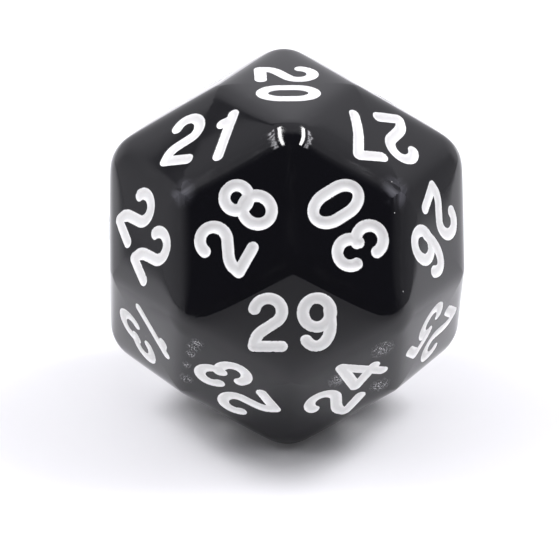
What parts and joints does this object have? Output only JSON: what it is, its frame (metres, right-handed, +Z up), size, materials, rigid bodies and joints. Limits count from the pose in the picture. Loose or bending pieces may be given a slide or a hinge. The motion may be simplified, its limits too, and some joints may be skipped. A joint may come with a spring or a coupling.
{
  "type": "polyhedral die",
  "caption": "Rounded rhombic polyhedral die in glossy black plastic, with an engraved and white-filled number on every face, rolled to pick a number at random.",
  "frame": {"origin": "centre of the face that the die rests on, opposite the face numbered 20", "axes": "+Z up through the middle of the face numbered 20, -Y out of the middle of the face numbered 29, +X to the right of a viewer who faces 29"},
  "size_m": [0.032, 0.032, 0.032],
  "materials": {
    "body": "opaque black cast acrylic, tumble polished",
    "number_paint": "white acrylic paint, wiped into the engraving"
  },
  "bodies": {
    "root": {"die_body": "body", "numeral_1": "number_paint", "numeral_2": "number_paint", "numeral_3": "number_paint", "numeral_4": "number_paint", "numeral_5": "number_paint", "numeral_6": "number_paint", "numeral_7": "number_paint", "numeral_8": "number_paint", "numeral_9": "number_paint", "numeral_10": "number_paint", "numeral_11": "number_paint", "numeral_12": "number_paint", "numeral_13": "number_paint", "numeral_14": "number_paint", "numeral_15": "number_paint", "numeral_16": "number_paint", "numeral_17": "number_paint", "numeral_18": "number_paint", "numeral_19": "number_paint", "numeral_20": "number_paint", "numeral_21": "number_paint", "numeral_22": "number_paint", "numeral_23": "number_paint", "numeral_24": "number_paint", "numeral_25": "number_paint", "numeral_26": "number_paint", "numeral_27": "number_paint", "numeral_28": "number_paint", "numeral_29": "number_paint", "numeral_30": "number_paint"}
  },
  "joints": []
}
